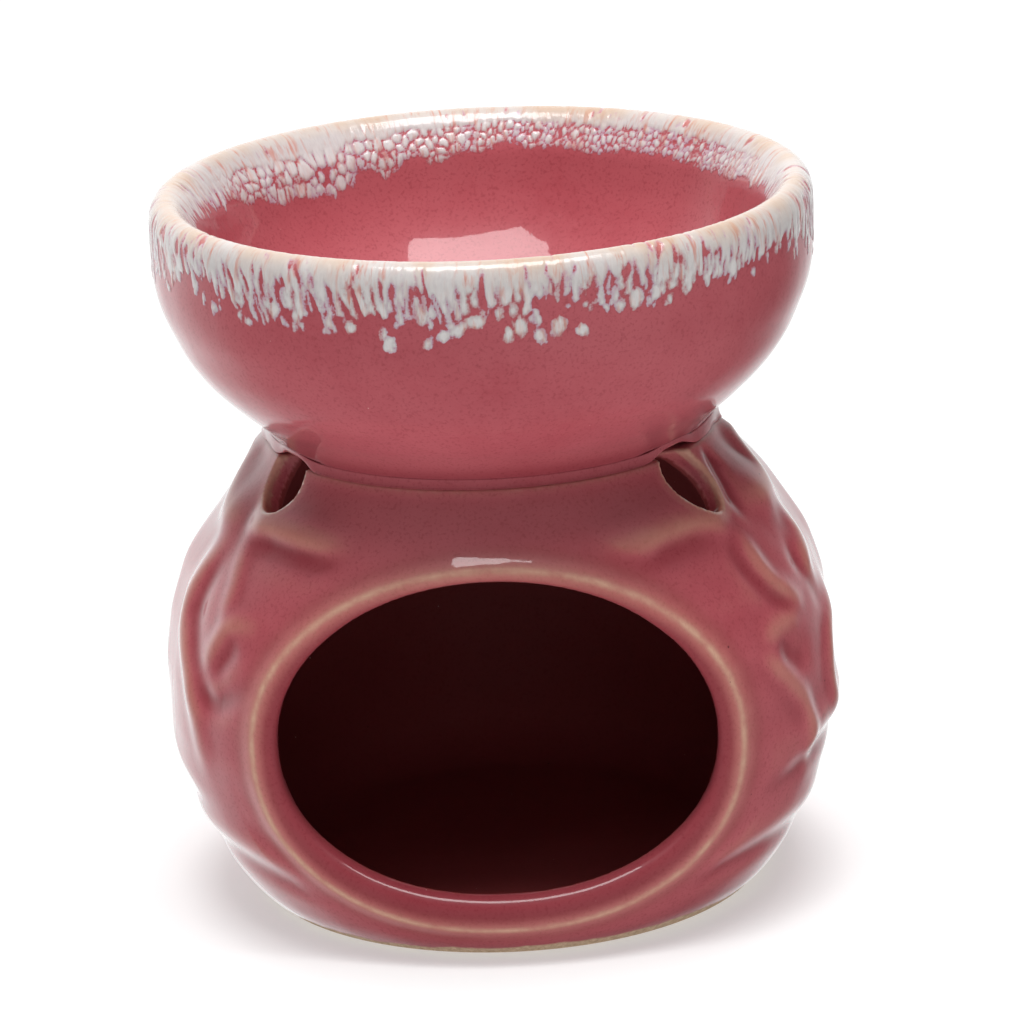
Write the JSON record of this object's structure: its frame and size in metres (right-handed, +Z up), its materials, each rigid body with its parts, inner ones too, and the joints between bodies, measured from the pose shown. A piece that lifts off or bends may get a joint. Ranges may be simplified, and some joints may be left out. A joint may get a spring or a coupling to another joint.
{
  "type": "tealight wax warmer",
  "caption": "Round hollow ceramic tealight chamber with a wide front opening and shoulder vents, carrying a thick-rimmed wax bowl.",
  "frame": {"origin": "centre of the foot, on the surface that the warmer stands on", "axes": "+Z up through the middle of the bowl; -Y is the front, which the tealight opening faces; +X is the right side seen from the front"},
  "size_m": [0.108, 0.1065, 0.1147],
  "materials": {
    "rose_glaze": "gloss",
    "white_rim_glaze": "gloss"
  },
  "bodies": {
    "root": {"chamber_base": "rose_glaze", "luting_slip": "rose_glaze", "wax_bowl": "rose_glaze", "rim_glaze": "white_rim_glaze"}
  },
  "joints": []
}
